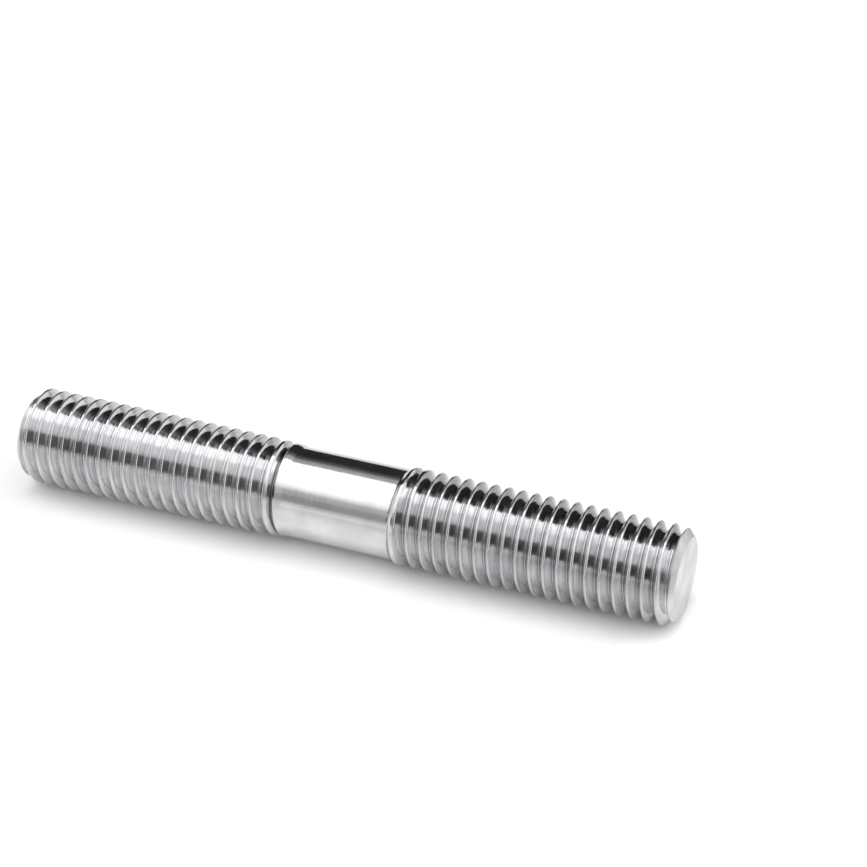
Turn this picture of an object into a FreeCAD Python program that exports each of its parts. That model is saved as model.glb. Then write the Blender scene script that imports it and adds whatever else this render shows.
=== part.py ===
import FreeCAD, Part
import math
import os

# A double ended stud: one turned steel bar with an M14 x 2 thread on each end and a plain shank
# between them. It stands on one flat end. The origin is the centre of that end face, the axis of
# the bar is Z, and the other end points up. Both ends are the same.
#
# The threaded ends are solid at the thread's major diameter, over the crests of the thread.
# Lengths are in millimetres and angles in degrees.

# Driving sizes of the bar
overall_length = 100.0
shank_diameter = 13.0

# Driving sizes of each threaded end
thread_diameter = 14.0
thread_pitch = 2.0
threaded_length = 41.2    # from the end face to where the thread's run-out meets the shank
end_chamfer_angle = 45.0  # between the chamfer and the axis
runout_angle = 30.0       # between the run-out's cone and the axis

# The depth of an ISO metric outside thread: 17/24 of the height of its sharp 60 degree triangle
thread_flank_angle = 60.0
sharp_triangle_height = thread_pitch / (2.0 * math.tan(math.radians(thread_flank_angle / 2.0)))
thread_depth = sharp_triangle_height * 17.0 / 24.0

# Radii and lengths that follow from the sizes above
thread_radius = thread_diameter / 2.0
shank_radius = shank_diameter / 2.0
end_face_radius = thread_radius - thread_depth
chamfer_length = thread_depth / math.tan(math.radians(end_chamfer_angle))
runout_length = (thread_radius - shank_radius) / math.tan(math.radians(runout_angle))

axis_point = FreeCAD.Vector(0.0, 0.0, 0.0)
axis_direction = FreeCAD.Vector(0.0, 0.0, 1.0)
full_turn = 360.0


def end_outline():
    """Corners of the lower end as (radius, height), from the end face's rim up to the shank."""
    return [
        (end_face_radius, 0.0),
        (thread_radius, chamfer_length),
        (thread_radius, threaded_length - runout_length),
        (shank_radius, threaded_length),
    ]


def stud():
    """The whole stud: its half section, with the upper end mirrored from the lower, turned once."""
    lower_end = end_outline()
    upper_end = [(radius, overall_length - height) for radius, height in reversed(lower_end)]
    corners = [(0.0, 0.0)] + lower_end + upper_end + [(0.0, overall_length)]
    points = [FreeCAD.Vector(radius, 0.0, height) for radius, height in corners]
    half_section = Part.Face(Part.makePolygon(points + points[:1]))
    return half_section.revolve(axis_point, axis_direction, full_turn)


os.makedirs("parts", exist_ok=True)
stud().exportStep("parts/stud.step")
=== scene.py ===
"""A double ended stud of bright stainless steel, with an M14 x 2 thread on each end of a plain shank."""

import logging
import math
from dataclasses import dataclass, field
from enum import Enum

import bpy
from mathutils import Matrix, Vector

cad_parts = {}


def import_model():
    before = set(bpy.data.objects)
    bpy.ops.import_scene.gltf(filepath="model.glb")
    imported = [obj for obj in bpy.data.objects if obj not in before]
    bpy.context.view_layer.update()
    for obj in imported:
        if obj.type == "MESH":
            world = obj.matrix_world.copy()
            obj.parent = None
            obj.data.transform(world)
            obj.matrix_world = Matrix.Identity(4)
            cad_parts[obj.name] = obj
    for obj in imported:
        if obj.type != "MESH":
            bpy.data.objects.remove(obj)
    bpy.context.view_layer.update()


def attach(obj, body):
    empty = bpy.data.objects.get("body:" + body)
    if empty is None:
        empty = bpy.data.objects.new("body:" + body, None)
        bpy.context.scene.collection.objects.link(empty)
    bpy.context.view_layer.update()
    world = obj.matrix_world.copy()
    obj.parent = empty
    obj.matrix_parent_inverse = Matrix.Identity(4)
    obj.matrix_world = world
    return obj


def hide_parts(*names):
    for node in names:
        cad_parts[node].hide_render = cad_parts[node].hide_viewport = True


LOG = logging.getLogger("stud")

MILLIMETRE = 0.001
FULL_TURN = 2.0 * math.pi
NEAR_SIDE = 0.25  # places round the bar are counted from its near side, a quarter turn before +X

# Where a Mix node keeps its colours among its sockets
BELOW = 6
ABOVE = 7
MIXED = 2

Setting = str | int | float | bool
Input = bpy.types.NodeSocket | bpy.types.Material | float | tuple
Range = tuple[float, float]
Stops = tuple[tuple[float, float], ...]


class Direction(Enum):
    """How far a mirrored ray leans along the bar, as the sine of its angle from level."""

    ALMOST_STRAIGHT_DOWN = -0.92
    VERY_STEEPLY_DOWN = -0.80
    MORE_STEEPLY_DOWN = -0.66
    LESS_STEEPLY_DOWN = -0.63
    STEEPLY_DOWN = -0.40
    DOWN = -0.37
    UP = 0.12
    STEEPLY_UP = 0.36
    VERY_STEEPLY_UP = 0.86
    ALMOST_STRAIGHT_UP = 0.94


def linear_colour(code: str) -> tuple[float, float, float, float]:
    """Turn an sRGB colour code into linear light.

    Args:
        code: Six hexadecimal digits, two for each of red, green and blue.

    Returns:
        Red, green, blue and an alpha of 1, as a shader socket takes them.
    """
    channels = [int(code[place : place + 2], 16) / 255.0 for place in (0, 2, 4)]
    linear = [c / 12.92 if c <= 0.04045 else ((c + 0.055) / 1.055) ** 2.4 for c in channels]
    return (linear[0], linear[1], linear[2], 1.0)


def add_node(
    tree: bpy.types.NodeTree,
    kind: str,
    settings: dict[str, Setting] | None = None,
    inputs: dict[str | int, Input] | None = None,
) -> bpy.types.Node:
    """Add one node to a tree, set it up and link it.

    Args:
        tree: The node tree that gets the node.
        kind: The node's type name.
        settings: Values for the node's own properties.
        inputs: A socket to link or a value to set for each named or numbered input.

    Returns:
        The new node.
    """
    node = tree.nodes.new(kind)
    for name, value in (settings or {}).items():
        setattr(node, name, value)
    for name, value in (inputs or {}).items():
        if isinstance(value, bpy.types.NodeSocket):
            tree.links.new(value, node.inputs[name])
        else:
            node.inputs[name].default_value = value
    return node


@dataclass(frozen=True)
class Number:
    """A number inside a node tree, so that a shape or a pattern is written as plain arithmetic."""

    tree: bpy.types.NodeTree
    socket: bpy.types.NodeSocket

    def by(self, operation: str, *others: "Number | float") -> "Number":
        """Combine this number with others.

        Args:
            operation: The name of the arithmetic operation.
            others: The operation's other numbers, in its own order.

        Returns:
            The result as a new number of the same tree.
        """
        inputs: dict[str | int, Input] = {0: self.socket}
        for place, other in enumerate(others, start=1):
            inputs[place] = other.socket if isinstance(other, Number) else other
        node = add_node(self.tree, "ShaderNodeMath", {"operation": operation}, inputs)
        return Number(self.tree, node.outputs[0])

    def __add__(self, other: "Number | float") -> "Number":
        """Return the sum."""
        return self.by("ADD", other)

    def __sub__(self, other: "Number | float") -> "Number":
        """Return the difference."""
        return self.by("SUBTRACT", other)

    def __rsub__(self, other: float) -> "Number":
        """Return what is left of a plain number without this one."""
        return self * -1.0 + other

    def __mul__(self, other: "Number | float") -> "Number":
        """Return the product."""
        return self.by("MULTIPLY", other)

    def __truediv__(self, other: "Number | float") -> "Number":
        """Return the quotient."""
        return self.by("DIVIDE", other)

    def ramp(self, start: "Number | float", end: "Number | float") -> "Number":
        """Rise evenly from 0 to 1 as this number goes from start to end, and stay there.

        Args:
            start: Where the result is still 0.
            end: Where the result reaches 1; it may lie below start.

        Returns:
            The result, from 0 to 1.
        """
        return ((self - start) / (end - start)).by("MAXIMUM", 0.0).by("MINIMUM", 1.0)

    def towards(self, other: "Number | float", share: "Number") -> "Number":
        """Go part of the way from this number to another one.

        Args:
            other: The number that the whole way leads to.
            share: The part of the way, from 0 to 1.

        Returns:
            The number that is reached.
        """
        return self + (other - self) * share


@dataclass(frozen=True)
class SteelSpot:
    """One point of the steel: its place on the bar, and what each pattern is worth there."""

    height: Number
    from_axis: Number
    from_middle: Number
    from_crest: Number
    on_thread: Number
    on_end: Number
    rings: Number
    lines: Number
    clouds: Number
    dents: Number


@dataclass(frozen=True)
class MachinedStainlessSteel:
    """Stainless steel bar turned and threaded on a lathe, left bright.

    To the eye it is a clear grey mirror, slightly blurred, with fine rings left by the turning tool
    on the shank, fine lines along the flanks of the threads, a few soft cloudy patches and tiny
    dents. The threads' colour is a little darker on their crests, and painted shade lies in their
    roots, most of all in the upper thread's roots. A dark line lies in the root of the lower thread's
    last groove. The ends are cut off square and chamfered, which leaves them rougher and lighter.
    """

    light_colour: str = "DADADB"
    dark_colour: str = "CDCDCF"
    # This colour serves the tool lines on the threads, the darker crests and painted shade in the thread
    # roots
    line_and_root_shade_colour: str = "A6A6A8"
    exit_line_colour: str = "5A5A5C"
    light_end_colour: str = "DFDFE0"
    dark_end_colour: str = "C9C9CB"

    metallic: float = 1.0
    smooth_roughness: float = 0.07
    rough_roughness: float = 0.17
    end_roughness: float = 0.24
    chamfer_roughness: float = 0.42

    # The size of one patch of each pattern, how many finer layers it has, and its height if any
    ring_spacing: float = 0.22 * MILLIMETRE  # feed marks are finer, and wouldn't show in a render
    ring_detail: float = 2.0
    ring_height: float = 0.003 * MILLIMETRE
    line_spacing: float = 0.16 * MILLIMETRE  # a threading tool's marks are finer too
    line_detail: float = 1.0
    line_height: float = 0.002 * MILLIMETRE
    cloud_size: float = 3.0 * MILLIMETRE
    cloud_detail: float = 5.0
    dent_size: float = 0.35 * MILLIMETRE
    dent_detail: float = 3.0
    dent_height: float = 0.005 * MILLIMETRE
    stretch: float = 0.02  # how much slower a tool mark changes along the tool's path

    # Between which values of a pattern its effect sets in
    cloud_colouring: Range = (0.35, 0.65)
    cloud_blurring: Range = (0.30, 0.75)
    ring_blurring: Range = (0.30, 0.80)
    line_colouring: Range = (0.56, 0.72)

    # Distances from the middle of the thread's crest, how much darker the crests are, and how much
    # painted shade lies in the roots
    crest_edge: float = 0.16 * MILLIMETRE
    flank_start: float = 0.22 * MILLIMETRE
    flank_end: float = 0.74 * MILLIMETRE
    root_start: float = 0.90 * MILLIMETRE
    crest_darkening: float = 0.35
    lower_root_painted_shade: float = 0.5
    upper_root_painted_shade: float = 1.0

    # The dark line in the lower thread's last groove: heights, then distances from the crest
    exit_line_start: float = 39.3 * MILLIMETRE
    exit_line_full: float = 40.3 * MILLIMETRE
    exit_line_fading: float = 41.2 * MILLIMETRE
    exit_line_end: float = 42.0 * MILLIMETRE
    exit_line_edge: float = 0.80 * MILLIMETRE
    exit_line_core: float = 0.93 * MILLIMETRE

    # Distances along the bar from the shank's middle
    shank_end: float = 8.40 * MILLIMETRE
    thread_start: float = 8.56 * MILLIMETRE
    thread_end: float = 48.75 * MILLIMETRE
    end_start: float = 48.79 * MILLIMETRE

    # From the axis and from the shank's middle taken together, which is the same all over a chamfer
    chamfer_start: float = 55.62 * MILLIMETRE
    chamfer_full: float = 55.72 * MILLIMETRE

    shank_middle: float = 50.0 * MILLIMETRE
    thread_pitch: float = 2.0 * MILLIMETRE
    crest_height: float = 1.7 * MILLIMETRE  # between those of the two threads, and near enough

    def spot(self, tree: bpy.types.NodeTree) -> SteelSpot:
        """Find a point's place on the bar and lay the patterns over it.

        Args:
            tree: The material's node tree.

        Returns:
            The place and the patterns, worked out from Object coordinates.
        """
        place = add_node(tree, "ShaderNodeTexCoord").outputs["Object"]
        apart = add_node(tree, "ShaderNodeSeparateXYZ", inputs={"Vector": place})
        x, y, z = (Number(tree, apart.outputs[axis]) for axis in "XYZ")
        from_axis = (x * x + y * y).by("SQRT")
        from_middle = (z - self.shank_middle).by("ABSOLUTE")
        turn = y.by("ARCTAN2", x) / FULL_TURN + NEAR_SIDE
        pitches = (z - self.crest_height) / self.thread_pitch - turn
        from_crest = pitches.by("PINGPONG", 0.5) * self.thread_pitch

        # Rings run round the shank and lines along the thread: neither changes much that way.
        round_shank, along_thread = (
            add_node(
                tree,
                "ShaderNodeCombineXYZ",
                inputs={axis: number.socket for axis, number in zip("XYZ", numbers)},
            ).outputs["Vector"]
            for numbers in (
                (x * self.stretch, y * self.stretch, z),
                (from_axis, from_crest, z * self.stretch),
            )
        )
        rings, lines, clouds, dents = (
            Number(
                tree,
                add_node(
                    tree,
                    "ShaderNodeTexNoise",
                    inputs={"Vector": coordinates, "Scale": 1.0 / size, "Detail": detail},
                ).outputs["Fac"],
            )
            for coordinates, size, detail in (
                (round_shank, self.ring_spacing, self.ring_detail),
                (along_thread, self.line_spacing, self.line_detail),
                (place, self.cloud_size, self.cloud_detail),
                (place, self.dent_size, self.dent_detail),
            )
        )
        return SteelSpot(
            height=z,
            from_axis=from_axis,
            from_middle=from_middle,
            from_crest=from_crest,
            on_thread=from_middle.ramp(self.shank_end, self.thread_start),
            on_end=from_middle.ramp(self.thread_end, self.end_start),
            rings=rings,
            lines=lines,
            clouds=clouds,
            dents=dents,
        )

    def scoring_and_root_shade(self, spot: SteelSpot) -> Number:
        """Say how strongly the threads are scored, darkened on their crests and painted with shade in
        their roots.

        Args:
            spot: The point of the steel.

        Returns:
            A share from 0 to 1, and 0 on the shank.
        """
        is_upper = spot.height.by("GREATER_THAN", self.shank_middle)
        # Painted shade in the thread roots, deeper in the upper thread's roots
        root_painted_shade = is_upper * (self.upper_root_painted_shade - self.lower_root_painted_shade)
        root_painted_shade = root_painted_shade + self.lower_root_painted_shade
        root = spot.from_crest.ramp(self.flank_end, self.root_start) * root_painted_shade
        # Darker colour on the crests
        crest = spot.from_crest.ramp(self.flank_start, self.crest_edge) * self.crest_darkening
        scored = spot.lines.ramp(*self.line_colouring) + root + crest
        return scored.by("MINIMUM", 1.0) * spot.on_thread

    def exit_line(self, spot: SteelSpot) -> Number:
        """Say where the dark line lies in the root of the lower thread's last groove.

        Args:
            spot: The point of the steel.

        Returns:
            A share from 0 to 1.
        """
        begun = spot.height.ramp(self.exit_line_start, self.exit_line_full)
        not_over = spot.height.ramp(self.exit_line_end, self.exit_line_fading)
        in_root = spot.from_crest.ramp(self.exit_line_edge, self.exit_line_core)
        return begun * not_over * in_root

    def colour(self, tree: bpy.types.NodeTree, spot: SteelSpot) -> bpy.types.NodeSocket:
        """Lay the colours over each other.

        Args:
            tree: The material's node tree.
            spot: The point of the steel.

        Returns:
            The colour of what the steel mirrors.
        """
        cloudy = spot.clouds.ramp(*self.cloud_colouring).socket
        bar, end = (
            add_node(
                tree,
                "ShaderNodeMix",
                {"data_type": "RGBA"},
                {"Factor": cloudy, BELOW: linear_colour(dark), ABOVE: linear_colour(light)},
            ).outputs[MIXED]
            for dark, light in (
                (self.dark_colour, self.light_colour),
                (self.dark_end_colour, self.light_end_colour),
            )
        )
        colour = bar
        # The first layer holds tool lines, darker crests and painted shade in the thread roots
        for share, layer in (
            (self.scoring_and_root_shade(spot), linear_colour(self.line_and_root_shade_colour)),
            (self.exit_line(spot), linear_colour(self.exit_line_colour)),
            (spot.on_end, end),
        ):
            colour = add_node(
                tree,
                "ShaderNodeMix",
                {"data_type": "RGBA"},
                {"Factor": share.socket, BELOW: colour, ABOVE: layer},
            ).outputs[MIXED]
        return colour

    def roughness(self, spot: SteelSpot) -> Number:
        """Say how much the steel blurs what it mirrors.

        Args:
            spot: The point of the steel.

        Returns:
            The roughness on the bar, on its end faces and on their chamfers.
        """
        blurred = spot.clouds.ramp(*self.cloud_blurring) + spot.rings.ramp(*self.ring_blurring)
        bar = blurred * 0.5 * (self.rough_roughness - self.smooth_roughness) + self.smooth_roughness
        on_chamfer = (spot.from_axis + spot.from_middle).ramp(self.chamfer_start, self.chamfer_full)
        end = on_chamfer * (self.chamfer_roughness - self.end_roughness) + self.end_roughness
        return bar.towards(end, spot.on_end)

    def relief(self, spot: SteelSpot) -> Number:
        """Add up the heights of the tool marks and dents.

        Args:
            spot: The point of the steel.

        Returns:
            The height: rings on the shank, lines on the threads and dents all over.
        """
        rings = spot.rings * self.ring_height * (1.0 - spot.on_thread)
        lines = spot.lines * self.line_height * spot.on_thread
        return rings + lines + spot.dents * self.dent_height

    def material(self) -> bpy.types.Material:
        """Make the finish.

        Returns:
            A metal material whose patterns lie on Object coordinates.
        """
        made = bpy.data.materials.new("machined_stainless_steel")
        made.use_nodes = True
        tree = made.node_tree
        tree.nodes.clear()
        spot = self.spot(tree)
        height = self.relief(spot) / MILLIMETRE
        uneven = add_node(
            tree,
            "ShaderNodeBump",
            inputs={"Height": height.socket, "Strength": 1.0, "Distance": MILLIMETRE},
        ).outputs["Normal"]
        surface = add_node(
            tree,
            "ShaderNodeBsdfPrincipled",
            inputs={
                "Base Color": self.colour(tree, spot),
                "Metallic": self.metallic,
                "Roughness": self.roughness(spot).socket,
                "Normal": uneven,
            },
        ).outputs["BSDF"]
        add_node(tree, "ShaderNodeOutputMaterial", inputs={"Surface": surface})
        return made


@dataclass(frozen=True)
class MattWhiteGround:
    """Plain matt white paper that shows as white and keeps the shadow of what lies on it.

    The camera sees it just past white, and painted brighter beyond the stud's upper end, where the
    photo hardly has a shadow, which paints out the stud's shadow there. In what the steel mirrors it
    is painted dimmer away from the stud, towards the upper end and into the distance: a painted
    fall-off of light, like paper outside the light of a lamp.
    """

    colour: str = "FAFAFA"

    # As the camera sees it, and the heights between which it is painted brighter
    seen_brightness: float = 1.02
    seen_painted_end_brightness: float = 1.38
    end_start: float = 93.0 * MILLIMETRE
    end_full: float = 102.0 * MILLIMETRE

    # As the steel mirrors it, and the distances and heights between which it is painted dimmer, a
    # painted fall-off of light
    mirrored_brightness: float = 1.12
    painted_dimness: float = 0.5226
    near: float = 10.0 * MILLIMETRE
    far: float = 40.0 * MILLIMETRE
    light_end: float = -20.0 * MILLIMETRE
    dim_end: float = 90.0 * MILLIMETRE
    far_painted_dimming: float = 0.62
    far_dimming_start: float = 50.0 * MILLIMETRE
    far_dimming_full: float = 250.0 * MILLIMETRE

    def material(self) -> bpy.types.Material:
        """Make the finish.

        Returns:
            A matt material with one side: from behind, the ground isn't there.
        """
        made = bpy.data.materials.new("matt_white_ground")
        made.use_nodes = True
        tree = made.node_tree
        tree.nodes.clear()
        place = add_node(tree, "ShaderNodeTexCoord").outputs["Object"]
        apart = add_node(tree, "ShaderNodeSeparateXYZ", inputs={"Vector": place})
        x, y, z = (Number(tree, apart.outputs[axis]) for axis in "XYZ")
        from_stud = (x * x + y * y).by("SQRT")

        # Painted light: the ground is made brighter beyond the stud's upper end, which paints out the
        # stud's shadow there
        seen = z.ramp(self.end_start, self.end_full)
        seen = seen * (self.seen_painted_end_brightness - self.seen_brightness) + self.seen_brightness
        # Painted fall-off of light in what the steel mirrors: dimmer away from the stud, towards the
        # upper end and into the distance
        painted_dimming = from_stud.ramp(self.near, self.far) * z.ramp(self.light_end, self.dim_end)
        far_dimmed = from_stud.ramp(self.far_dimming_start, self.far_dimming_full) * self.far_painted_dimming
        mirrored = 1.0 - painted_dimming.by("MAXIMUM", far_dimmed) * self.painted_dimness
        mirrored = mirrored * self.mirrored_brightness

        path = add_node(tree, "ShaderNodeLightPath")
        is_mirrored, is_seen = (
            Number(tree, path.outputs[name]) for name in ("Is Glossy Ray", "Is Camera Ray")
        )
        brightness = (mirrored - 1.0) * is_mirrored + 1.0
        brightness = brightness.towards(seen, is_seen)
        colour = add_node(
            tree,
            "ShaderNodeVectorMath",
            {"operation": "SCALE"},
            {0: linear_colour(self.colour)[:3], "Scale": brightness.socket},
        ).outputs["Vector"]
        matt = add_node(tree, "ShaderNodeBsdfDiffuse", inputs={"Color": colour}).outputs["BSDF"]
        clear = add_node(tree, "ShaderNodeBsdfTransparent").outputs["BSDF"]
        behind = add_node(tree, "ShaderNodeNewGeometry").outputs["Backfacing"]
        surface = add_node(
            tree, "ShaderNodeMixShader", inputs={0: behind, 1: matt, 2: clear}
        ).outputs["Shader"]
        add_node(tree, "ShaderNodeOutputMaterial", inputs={"Surface": surface})
        return made


@dataclass(frozen=True)
class ThreadForm:
    """The ridge and groove of an M14 x 2 outside thread, cut square to the bar's axis."""

    pitch: float = 2.0 * MILLIMETRE
    crest_width: float = 0.28 * MILLIMETRE
    crest_rounding: float = 0.13 * MILLIMETRE
    flank_angle: float = 30.0  # degrees from square to the axis
    depth: float = 1.29 * MILLIMETRE  # a little past the standard's, as a rounded root has it
    root_rounding: float = 0.12 * MILLIMETRE

    @property
    def standard_depth(self) -> float:
        """Return an ISO metric outside thread's depth: 17/24 of its sharp triangle's height."""
        return self.pitch / (2.0 * math.tan(math.radians(self.flank_angle))) * 17.0 / 24.0


@dataclass(frozen=True)
class LowerThread:
    """Where the lower thread lies, by height from the lower end. It fades slowly into the shank."""

    crest_height: float = 1.78 * MILLIMETRE
    fade_start: float = 36.8 * MILLIMETRE
    fade_middle: float = 41.5 * MILLIMETRE
    fade_end: float = 42.5 * MILLIMETRE
    groove_fade_start: float = 39.6 * MILLIMETRE
    groove_fade_end: float = 42.6 * MILLIMETRE


@dataclass(frozen=True)
class UpperThread:
    """Where the upper thread lies, by the same height. It starts almost at its full depth."""

    crest_height: float = 1.65 * MILLIMETRE
    rise_start: float = 58.6 * MILLIMETRE
    rise_end: float = 59.3 * MILLIMETRE
    groove_rise_start: float = 59.6 * MILLIMETRE
    groove_rise_end: float = 60.6 * MILLIMETRE


@dataclass
class ThreadedBar:
    """The whole stud as one turned bar, with both threads cut into it.

    The bar's rule starts from a cylinder with many rows of points. Rows crowd at the crests and
    roots, where the thread turns sharply, and settle back to level where a thread ends.
    """

    finish: MachinedStainlessSteel = field(default_factory=MachinedStainlessSteel)
    form: ThreadForm = field(default_factory=ThreadForm)
    lower: LowerThread = field(default_factory=LowerThread)
    upper: UpperThread = field(default_factory=UpperThread)
    length: float = 100.0 * MILLIMETRE
    thread_radius: float = 7.0 * MILLIMETRE
    shank_radius: float = 6.5 * MILLIMETRE
    end_chamfer_angle: float = 45.0  # degrees from the axis
    sides: int = 96
    rows_per_pitch: int = 16
    row_crowding: float = 0.45
    row_settling: float = 0.5 * MILLIMETRE
    crease_angle: float = 20.0  # degrees; flatter edges are shaded as smooth

    @property
    def end_face_radius(self) -> float:
        """Return the radius of an end face: the chamfer goes down to the thread's minor radius."""
        return self.thread_radius - self.form.standard_depth

    @property
    def chamfer_length(self) -> float:
        """Return the length of an end chamfer along the bar."""
        return self.form.standard_depth / math.tan(math.radians(self.end_chamfer_angle))

    def sizes(self) -> dict[str, float]:
        """Return the named sizes that the shape's rule takes."""
        return {
            "Length": self.length,
            "Thread Radius": self.thread_radius,
            "Shank Radius": self.shank_radius,
            "End Face Radius": self.end_face_radius,
            "Chamfer Length": self.chamfer_length,
            "Pitch": self.form.pitch,
            "Half Crest Width": self.form.crest_width / 2.0,
            "Thread Depth": self.form.depth,
            "Crest Rounding": self.form.crest_rounding,
            "Root Rounding": self.form.root_rounding,
            "Lower Crest Height": self.lower.crest_height,
            "Upper Crest Height": self.upper.crest_height,
            "Lower Fade Start": self.lower.fade_start,
            "Lower Fade Middle": self.lower.fade_middle,
            "Lower Fade End": self.lower.fade_end,
            "Lower Groove Fade Start": self.lower.groove_fade_start,
            "Lower Groove Fade End": self.lower.groove_fade_end,
            "Upper Rise Start": self.upper.rise_start,
            "Upper Rise End": self.upper.rise_end,
            "Upper Groove Rise Start": self.upper.groove_rise_start,
            "Upper Groove Rise End": self.upper.groove_rise_end,
        }

    def rule(self, surface: bpy.types.Material) -> bpy.types.NodeTree:
        """Build the rule that turns a plain cylinder into the threaded bar.

        Args:
            surface: The material that the bar gets.

        Returns:
            A geometry tree with one named input for each size.
        """
        tree = bpy.data.node_groups.new("threaded_bar", "GeometryNodeTree")
        tree.interface.new_socket("Geometry", in_out="INPUT", socket_type="NodeSocketGeometry")
        for name in self.sizes():
            tree.interface.new_socket(name, in_out="INPUT", socket_type="NodeSocketFloat")
        tree.interface.new_socket("Geometry", in_out="OUTPUT", socket_type="NodeSocketGeometry")
        given = add_node(tree, "NodeGroupInput")
        size = {name: Number(tree, given.outputs[name]) for name in self.sizes()}

        blank = add_node(
            tree,
            "GeometryNodeMeshCylinder",
            {"fill_type": "TRIANGLE_FAN"},
            {
                "Vertices": self.sides,
                "Side Segments": round(self.length / self.form.pitch * self.rows_per_pitch),
                "Radius": size["Thread Radius"].socket,
                "Depth": size["Length"].socket,
            },
        ).outputs["Mesh"]

        place = add_node(tree, "GeometryNodeInputPosition").outputs["Position"]
        apart = add_node(tree, "ShaderNodeSeparateXYZ", inputs={"Vector": place})
        x, y, z = (Number(tree, apart.outputs[axis]) for axis in "XYZ")
        turn = y.by("ARCTAN2", x) / FULL_TURN + NEAR_SIDE
        height = self.settled_height(size, z + size["Length"] * 0.5, turn)
        scale = self.radius(size, height, turn) / size["Thread Radius"]
        moved = add_node(
            tree,
            "ShaderNodeCombineXYZ",
            inputs={"X": (x * scale).socket, "Y": (y * scale).socket, "Z": height.socket},
        ).outputs["Vector"]
        shaped = add_node(
            tree, "GeometryNodeSetPosition", inputs={"Geometry": blank, "Position": moved}
        ).outputs["Geometry"]
        split = add_node(
            tree, "GeometryNodeTriangulate", {"quad_method": "SHORTEST_DIAGONAL"}, {"Mesh": shaped}
        ).outputs["Mesh"]
        real = add_node(
            tree, "GeometryNodeRealizeInstances", inputs={"Geometry": split}
        ).outputs["Geometry"]
        dressed = add_node(
            tree, "GeometryNodeSetMaterial", inputs={"Geometry": real, "Material": surface}
        ).outputs["Geometry"]
        add_node(tree, "NodeGroupOutput", inputs={"Geometry": dressed})
        return tree

    def crest_height(self, size: dict[str, Number], height: Number) -> Number:
        """Choose the height of a crest on the bar's near side for the thread at this height.

        Args:
            size: The tree's named sizes.
            height: Height above the lower end face.

        Returns:
            The lower thread's crest height below the bar's middle, the upper thread's above it.
        """
        is_upper = height.by("GREATER_THAN", size["Length"] * 0.5)
        return size["Lower Crest Height"].towards(size["Upper Crest Height"], is_upper)

    def settled_height(
        self, size: dict[str, Number], height: Number, turn: Number
    ) -> Number:
        """Move the cylinder's level rows on to the slanting lines of the threads.

        Args:
            size: The tree's named sizes.
            height: Height of the point on the plain cylinder.
            turn: The point's place round the bar, in turns from the near side.

        Returns:
            The point's new height: a crest, flank or root line on a thread, else unchanged.
        """
        start = self.crest_height(size, height)
        pitches = (height - start) / size["Pitch"] - turn
        line = (pitches * self.rows_per_pitch).by("ROUND") / self.rows_per_pitch
        wave = 2.0 * FULL_TURN  # once at the crest and once at the root in each pitch
        crowded = line - (line * wave).by("SINE") * (self.row_crowding / wave)
        slanting = (crowded + turn) * size["Pitch"] + start

        lower_end, upper_start = size["Lower Fade End"], size["Upper Rise Start"]
        lower = height.ramp(0.0, self.row_settling)
        lower = lower * height.ramp(lower_end + self.row_settling, lower_end)
        upper = height.ramp(upper_start - self.row_settling, upper_start)
        upper = upper * height.ramp(size["Length"], size["Length"] - self.row_settling)
        return height.towards(slanting, lower + upper)

    def radius(self, size: dict[str, Number], height: Number, turn: Number) -> Number:
        """Give the bar's radius at one point.

        Args:
            size: The tree's named sizes.
            height: Height above the lower end face.
            turn: The point's place round the bar, in turns from the near side.

        Returns:
            The radius, with the threads, their run-outs and the end chamfers.
        """
        start = self.crest_height(size, height)
        pitches = (height - start) / size["Pitch"] - turn
        from_crest = (pitches - pitches.by("ROUND")).by("ABSOLUTE") * size["Pitch"]
        slope = 1.0 / math.tan(math.radians(self.form.flank_angle))
        cut = (from_crest - size["Half Crest Width"]) * slope
        cut = cut.by("SMOOTH_MIN", size["Thread Depth"], size["Root Rounding"])

        # The cutting tool moves in or out along the groove's own path, so that a shallow groove
        # is also a narrow one.
        groove = (pitches.by("FLOOR") + 0.5 + turn) * size["Pitch"] + start
        lower_groove = groove.ramp(size["Lower Groove Fade End"], size["Lower Groove Fade Start"])
        upper_groove = groove.ramp(size["Upper Groove Rise Start"], size["Upper Groove Rise End"])
        whole_lift = size["Thread Depth"] + size["Crest Rounding"]
        lift = whole_lift * (1.0 - (lower_groove + upper_groove))
        cut = (cut - lift).by("SMOOTH_MAX", 0.0, size["Crest Rounding"])

        slow_fade = height.ramp(size["Lower Fade Middle"], size["Lower Fade Start"])
        quick_fade = height.ramp(size["Lower Fade End"], size["Lower Fade Middle"])
        rise = height.ramp(size["Upper Rise Start"], size["Upper Rise End"])
        ridge = (slow_fade + quick_fade) * 0.5 + rise
        threaded = size["Shank Radius"].towards(size["Thread Radius"], ridge) - cut

        chamfer_slope = (size["Thread Radius"] - size["End Face Radius"]) / size["Chamfer Length"]
        lower_chamfer = size["End Face Radius"] + height * chamfer_slope
        upper_chamfer = size["End Face Radius"] + (size["Length"] - height) * chamfer_slope
        return threaded.by("MINIMUM", lower_chamfer).by("MINIMUM", upper_chamfer)

    def build(self) -> bpy.types.Object:
        """Make the finished bar and let it stand for the solid stud.

        Returns:
            The bar as one plain mesh, at the origin.
        """
        tree = self.rule(self.finish.material())
        carrier = bpy.data.objects.new("bar_rule", bpy.data.meshes.new("bar_rule"))
        bpy.context.collection.objects.link(carrier)
        modifier = carrier.modifiers.new("threaded_bar", "NODES")
        modifier.node_group = tree
        sockets = {item.name: item.identifier for item in tree.interface.items_tree}
        for name, value in self.sizes().items():
            modifier[sockets[name]] = value

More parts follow.
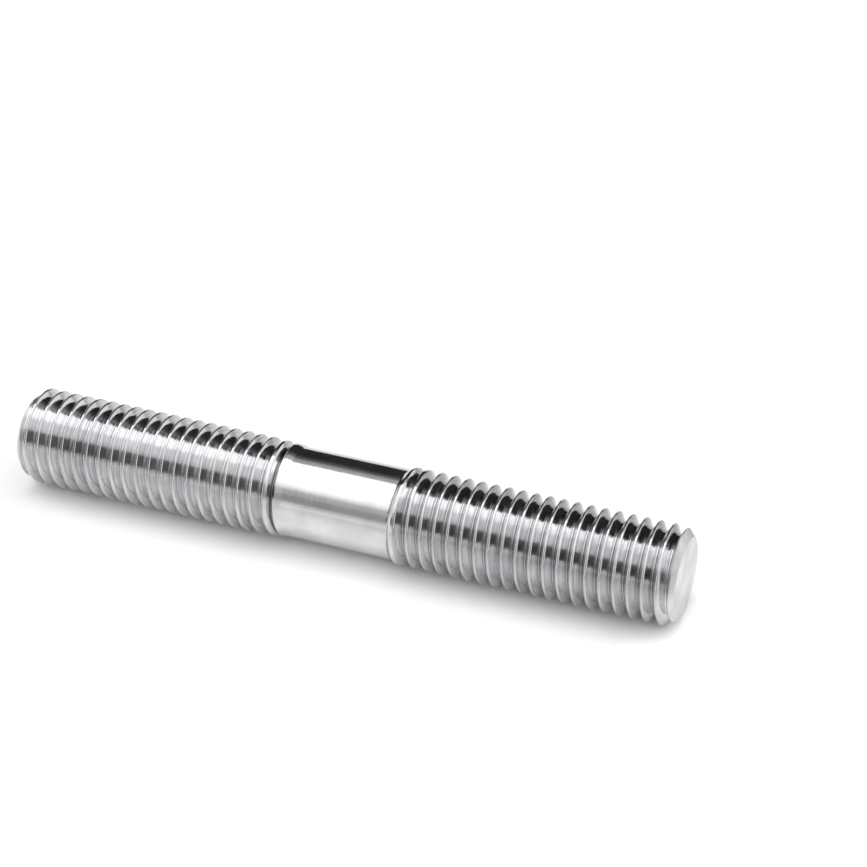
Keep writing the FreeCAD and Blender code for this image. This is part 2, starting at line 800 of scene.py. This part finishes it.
        graph = bpy.context.evaluated_depsgraph_get()
        mesh = bpy.data.meshes.new_from_object(carrier.evaluated_get(graph), depsgraph=graph)
        carrier.modifiers.remove(modifier)
        bpy.data.objects.remove(carrier)
        mesh.shade_smooth()
        mesh.set_sharp_from_angle(angle=math.radians(self.crease_angle))
        bar = bpy.data.objects.new("threaded_bar", mesh)
        bpy.context.collection.objects.link(bar)
        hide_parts("stud")
        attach(bar, "root")
        return bar


@dataclass
class Ground:
    """The white ground that the stud's side lies on."""

    finish: MattWhiteGround = field(default_factory=MattWhiteGround)
    bar_radius: float = 7.0 * MILLIMETRE
    facing: float = 216.3825  # degrees round the bar from +X
    reach: float = 3.0

    def build(self) -> bpy.types.Object:
        """Make the ground.

        Returns:
            A flat square that touches the crests of the threads along the whole bar.
        """
        angle = math.radians(self.facing)
        normal = Vector((math.cos(angle), math.sin(angle), 0.0))
        along = Vector((0.0, 0.0, 1.0))
        across = along.cross(normal)
        middle = -normal * self.bar_radius
        corners = [
            middle + across * side * self.reach + along * end * self.reach
            for side, end in ((-1, -1), (1, -1), (1, 1), (-1, 1))
        ]
        mesh = bpy.data.meshes.new("ground")
        mesh.from_pydata([tuple(corner) for corner in corners], [], [(0, 1, 2, 3)])
        mesh.update()
        mesh.materials.append(self.finish.material())
        ground = bpy.data.objects.new("ground", mesh)
        bpy.context.collection.objects.link(ground)
        return ground


@dataclass
class Studio:
    """The room that the steel mirrors: a long soft light overhead, a dark side and a dim side.

    Each stop is an angle round the bar, in degrees from the camera's side towards the side that is
    upward in the picture, with the brightness seen there. The rows of each list are the ground, the
    dim side, the lighter front, the light overhead, the dark side and the ground again. Level stops
    are mirrored by the shank, sloping ones by the flanks of the lower thread and steep ones by
    those of the upper thread.
    """

    level_stops: Stops = (
        (-180.0, 1.0), (-60.0, 1.0), (-36.0, 0.76), (-32.0, 0.70),
        (-29.0, 0.41), (-16.0, 0.42), (-12.0, 0.56), (-2.0, 0.66),
        (4.0, 1.1), (12.0, 1.5), (20.0, 1.7), (40.0, 1.8),
        (46.0, 2.5), (71.0, 2.5),
        (76.0, 0.55), (85.0, 0.48), (92.0, 0.14), (104.0, 0.03), (143.0, 0.03),
        (146.0, 1.0), (180.0, 1.0),
    )
    sloping_stops: Stops = (
        (-180.0, 1.0), (-46.0, 1.0), (-34.0, 0.90),
        (-30.0, 0.20), (-25.0, 0.15), (2.0, 0.18),
        (7.0, 1.0), (22.0, 1.45), (38.0, 1.55),
        (44.0, 2.5), (71.5, 2.5),
        (74.5, 0.015), (143.0, 0.015),
        (146.0, 1.0), (180.0, 1.0),
    )
    steep_stops: Stops = (
        (-180.0, 1.0), (-46.0, 1.0), (-35.0, 0.85),
        (-31.0, 0.07), (-25.0, 0.05), (-12.0, 0.08), (2.0, 0.16),
        (7.0, 0.90), (14.0, 1.10), (36.0, 1.20),
        (46.0, 1.50), (60.0, 1.40), (71.0, 1.45),
        (74.0, 0.015), (143.0, 0.015),
        (146.0, 1.0), (180.0, 1.0),
    )
    brightest: float = 2.5
    lower_end_brightness: float = 0.9
    upper_end_brightness: float = 1.05
    top_brightness: float = 0.55

    def band(self, tree: bpy.types.NodeTree, round_bar: Number, stops: Stops) -> Number:
        """Turn one list of stops into the brightness round the bar.

        Args:
            tree: The world's node tree.
            round_bar: The direction's place round the bar, from 0 to 1.
            stops: Angles and brightnesses, in rising order of angle.

        Returns:
            The brightness seen in that direction.
        """
        ramp = add_node(tree, "ShaderNodeValToRGB", inputs={"Fac": round_bar.socket})
        elements = ramp.color_ramp.elements
        for place, (angle, brightness) in enumerate(stops):
            position = (angle + 180.0) / 360.0
            stop = elements[place] if place < len(elements) else elements.new(position)
            stop.position = position
            level = brightness / self.brightest
            stop.color = (level, level, level, 1.0)
        return Number(tree, ramp.outputs["Color"]) * self.brightest

    def build(self) -> bpy.types.World:
        """Make the studio's light.

        Returns:
            A world that is white to the camera and shaped to everything else.
        """
        world = bpy.data.worlds.new("studio")
        world.use_nodes = True
        tree = world.node_tree
        tree.nodes.clear()
        direction = add_node(tree, "ShaderNodeTexCoord").outputs["Generated"]
        apart = add_node(tree, "ShaderNodeSeparateXYZ", inputs={"Vector": direction})
        x, y, z = (Number(tree, apart.outputs[axis]) for axis in "XYZ")
        round_bar = (x * -1.0).by("ARCTAN2", y * -1.0) / FULL_TURN + 0.5
        shaped, sloping, steep = (
            self.band(tree, round_bar, stops)
            for stops in (self.level_stops, self.sloping_stops, self.steep_stops)
        )
        lower_end, upper_end = self.lower_end_brightness, self.upper_end_brightness
        for start, end, brightness in (
            (Direction.DOWN, Direction.STEEPLY_DOWN, sloping),
            (Direction.LESS_STEEPLY_DOWN, Direction.MORE_STEEPLY_DOWN, steep),
            (Direction.VERY_STEEPLY_DOWN, Direction.ALMOST_STRAIGHT_DOWN, lower_end),
            (Direction.UP, Direction.STEEPLY_UP, upper_end),
            (Direction.VERY_STEEPLY_UP, Direction.ALMOST_STRAIGHT_UP, self.top_brightness),
        ):
            shaped = shaped.towards(brightness, z.ramp(start.value, end.value))
        path = add_node(tree, "ShaderNodeLightPath")
        strength = shaped.towards(1.0, Number(tree, path.outputs["Is Camera Ray"]))
        background = add_node(
            tree,
            "ShaderNodeBackground",
            inputs={"Color": (1.0, 1.0, 1.0, 1.0), "Strength": strength.socket},
        ).outputs["Background"]
        add_node(tree, "ShaderNodeOutputWorld", inputs={"Surface": background})
        bpy.context.scene.world = world
        return world


@dataclass
class PhotoCamera:
    """The camera at the photo's viewing angle, rolled so that the stud lies across the frame."""

    place: tuple[float, float, float] = (0.0, -0.3287, 0.1678)
    heading: float = 2.113  # degrees to the left of +Y
    tilt: float = 18.088  # degrees below level
    roll: float = 101.945  # degrees against the clock
    lens: float = 102.04
    sensor: float = 36.0
    nearest: float = 0.01
    farthest: float = 20.0

    def build(self) -> bpy.types.Object:
        """Make the camera and give it to the scene.

        Returns:
            The camera.
        """
        data = bpy.data.cameras.new("photo_camera")
        data.lens = self.lens
        data.sensor_width = self.sensor
        data.clip_start = self.nearest
        data.clip_end = self.farthest
        camera = bpy.data.objects.new("photo_camera", data)
        camera.matrix_world = (
            Matrix.Translation(self.place)
            @ Matrix.Rotation(math.radians(self.heading), 4, "Z")
            @ Matrix.Rotation(math.radians(90.0 - self.tilt), 4, "X")
            @ Matrix.Rotation(math.radians(self.roll), 4, "Z")
        )
        bpy.context.collection.objects.link(camera)
        bpy.context.scene.camera = camera
        return camera


def main() -> None:
    """Build the stud, the ground, the studio and the camera."""
    logging.basicConfig(level=logging.INFO)
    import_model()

    bar = ThreadedBar().build()
    LOG.info("%s: %d faces", bar.name, len(bar.data.polygons))
    ground = Ground().build()
    LOG.info("%s: stage", ground.name)
    world = Studio().build()
    LOG.info("%s: light", world.name)
    camera = PhotoCamera().build()
    LOG.info("%s: camera", camera.name)

    bpy.context.scene.view_settings.view_transform = "Standard"


if __name__ == "__main__":
    main()
